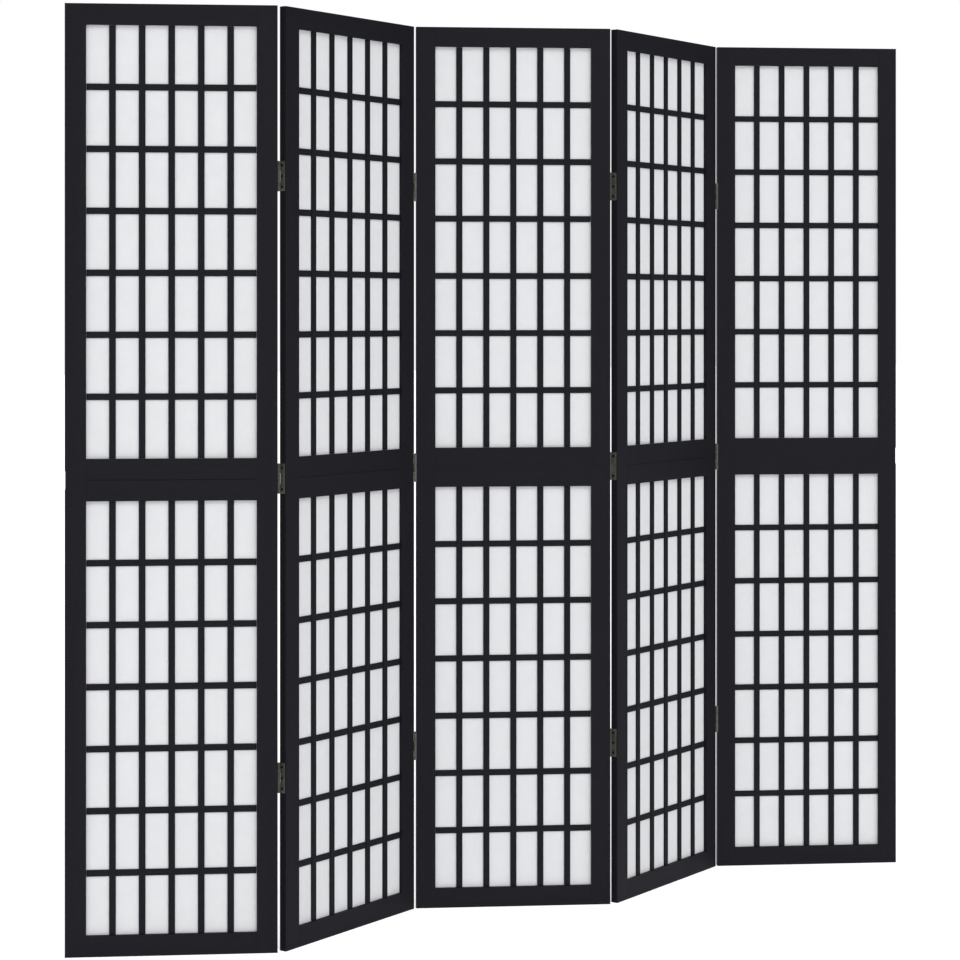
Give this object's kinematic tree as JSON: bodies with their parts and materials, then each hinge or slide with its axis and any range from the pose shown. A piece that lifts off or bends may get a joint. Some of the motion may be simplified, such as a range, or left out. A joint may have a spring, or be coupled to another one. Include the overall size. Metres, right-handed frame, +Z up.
{
  "type": "folding screen",
  "caption": "Shoji folding screen: dark wooden panels of stacked half frames with a lattice over white paper, joined by butt hinges and standing in a zigzag.",
  "frame": {"origin": "on the floor under the centre of the middle panel", "axes": "+X along the run of the screen, from the first panel to the last; +Y towards the back, where the paper beads are; +Z up"},
  "size_m": [1.8692, 0.1796, 1.8],
  "materials": {
    "frame_wood": "black stain under a satin lacquer",
    "lattice_wood": "black stain under a satin lacquer",
    "bead_wood": "black stain under a satin lacquer",
    "washi_paper": "matt white fibre paper, a little translucent",
    "hinge_bronze": "antique bronze plate, rubbed at the edges",
    "pin_steel": "darkened steel"
  },
  "bodies": {
    "panel_1": {"panel_1_end_plate": "hinge_bronze", "panel_1_hinge_leaves": "hinge_bronze", "panel_1_lower_lattice": "lattice_wood", "panel_1_lower_paper": "washi_paper", "panel_1_lower_rails": "frame_wood", "panel_1_lower_stiles": "frame_wood", "panel_1_paper_beads": "bead_wood", "panel_1_upper_lattice": "lattice_wood", "panel_1_upper_paper": "washi_paper", "panel_1_upper_rails": "frame_wood", "panel_1_upper_stiles": "frame_wood"},
    "panel_2": {"panel_2_hinge_leaves": "hinge_bronze", "panel_2_lower_lattice": "lattice_wood", "panel_2_lower_paper": "washi_paper", "panel_2_lower_rails": "frame_wood", "panel_2_lower_stiles": "frame_wood", "panel_2_paper_beads": "bead_wood", "panel_2_upper_lattice": "lattice_wood", "panel_2_upper_paper": "washi_paper", "panel_2_upper_rails": "frame_wood", "panel_2_upper_stiles": "frame_wood", "fold_1_hinge_pins": "pin_steel"},
    "panel_3": {"panel_3_hinge_leaves": "hinge_bronze", "panel_3_lower_lattice": "lattice_wood", "panel_3_lower_paper": "washi_paper", "panel_3_lower_rails": "frame_wood", "panel_3_lower_stiles": "frame_wood", "panel_3_paper_beads": "bead_wood", "panel_3_upper_lattice": "lattice_wood", "panel_3_upper_paper": "washi_paper", "panel_3_upper_rails": "frame_wood", "panel_3_upper_stiles": "frame_wood", "fold_2_hinge_pins": "pin_steel", "fold_3_hinge_pins": "pin_steel"},
    "panel_4": {"panel_4_hinge_leaves": "hinge_bronze", "panel_4_lower_lattice": "lattice_wood", "panel_4_lower_paper": "washi_paper", "panel_4_lower_rails": "frame_wood", "panel_4_lower_stiles": "frame_wood", "panel_4_paper_beads": "bead_wood", "panel_4_upper_lattice": "lattice_wood", "panel_4_upper_paper": "washi_paper", "panel_4_upper_rails": "frame_wood", "panel_4_upper_stiles": "frame_wood", "fold_4_hinge_pins": "pin_steel"},
    "panel_5": {"panel_5_end_plate": "hinge_bronze", "panel_5_hinge_leaves": "hinge_bronze", "panel_5_lower_lattice": "lattice_wood", "panel_5_lower_paper": "washi_paper", "panel_5_lower_rails": "frame_wood", "panel_5_lower_stiles": "frame_wood", "panel_5_paper_beads": "bead_wood", "panel_5_upper_lattice": "lattice_wood", "panel_5_upper_paper": "washi_paper", "panel_5_upper_rails": "frame_wood", "panel_5_upper_stiles": "frame_wood"}
  },
  "joints": [
    {"name": "fold_2", "type": "hinge", "parent": "panel_3", "child": "panel_2", "pos_m": [-0.18736, 0.0755, 0.9], "axis": [0, 0, 1], "range_deg": [-49, 131]},
    {"name": "fold_3", "type": "hinge", "parent": "panel_3", "child": "panel_4", "pos_m": [0.18736, -0.0755, 0.9], "axis": [0, 0, 1], "range_deg": [-49, 131]},
    {"name": "fold_1", "type": "hinge", "parent": "panel_2", "child": "panel_1", "pos_m": [-0.56209, -0.0755, 0.9], "axis": [0, 0, -1], "range_deg": [-49, 131]},
    {"name": "fold_4", "type": "hinge", "parent": "panel_4", "child": "panel_5", "pos_m": [0.56209, 0.0755, 0.9], "axis": [0, 0, -1], "range_deg": [-49, 131]}
  ],
  "couplings": [
    {"joint": "fold_3", "follows": "fold_2", "ratio": 1}
  ]
}
